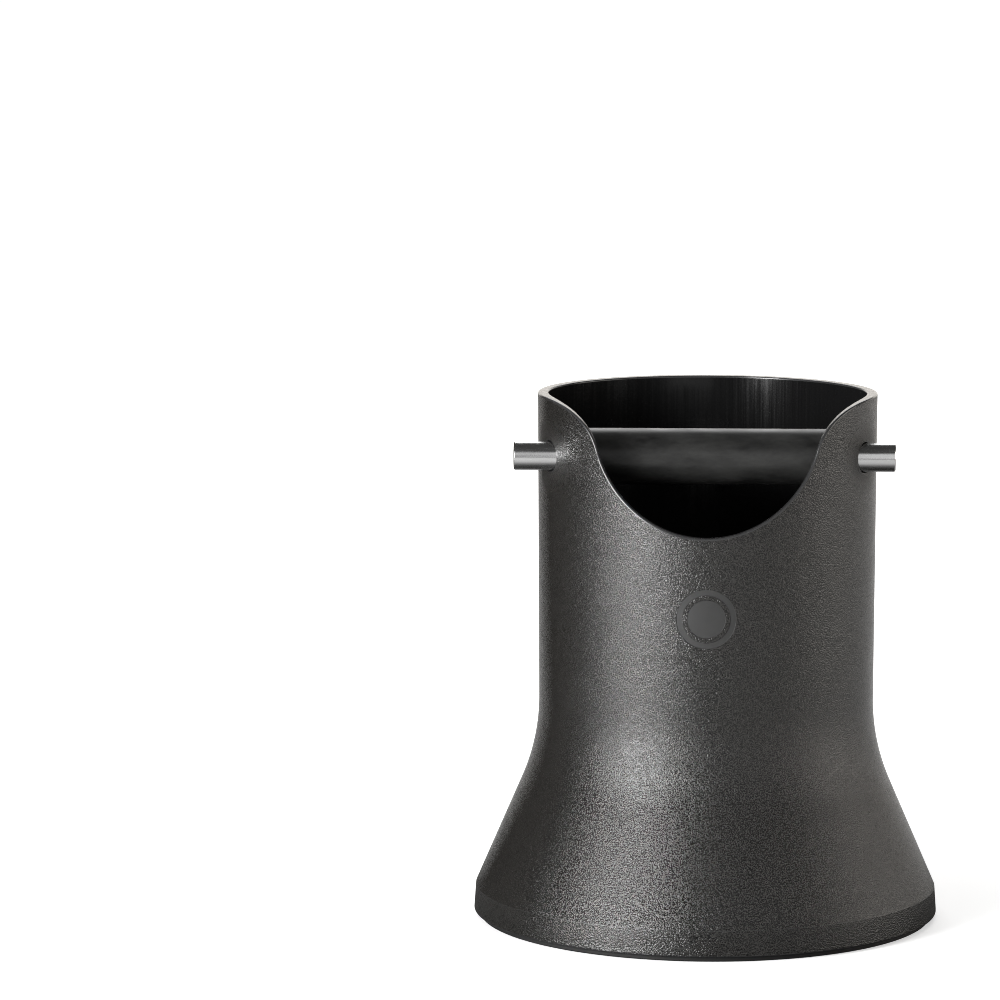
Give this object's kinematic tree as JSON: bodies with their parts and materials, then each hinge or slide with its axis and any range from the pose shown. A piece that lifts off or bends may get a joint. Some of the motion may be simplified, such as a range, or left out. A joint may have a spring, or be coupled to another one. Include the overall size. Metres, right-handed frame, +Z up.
{
  "type": "espresso knock box",
  "caption": "Round free-standing bin with a flared foot, a scooped front and a rubber-sleeved steel bar across its mouth, for knocking spent coffee out of a portafilter.",
  "frame": {"origin": "centre of the ring that stands on the table, at table height", "axes": "+Z up, -Y towards the scooped front, X along the knock bar, +X to the right when the scoop is seen from the front"},
  "size_m": [0.1542, 0.1541, 0.175],
  "materials": {
    "shell_plastic": "coarse moulded grain outside, smooth gloss inside",
    "floor_plastic": "smooth gloss above, fine grain below",
    "foot_rubber": "matt",
    "rod_steel": "drawn bar, brushed along its length",
    "sleeve_rubber": "satin"
  },
  "bodies": {
    "shell": {"body_shell": "shell_plastic", "base_plate": "floor_plastic", "foot_ring": "foot_rubber"},
    "sleeve": {"rubber_sleeve": "sleeve_rubber"},
    "rod": {"knock_rod": "rod_steel"}
  },
  "joints": [
    {"name": "bar_spin", "type": "hinge", "parent": "shell", "child": "sleeve", "pos_m": [0, -0.0215, 0.156], "axis": [1, 0, 0], "continuous": true},
    {"name": "rod_slide", "type": "slide", "parent": "sleeve", "child": "rod", "axis": [1, 0, 0], "range_m": [-0.145, 0.145]}
  ]
}
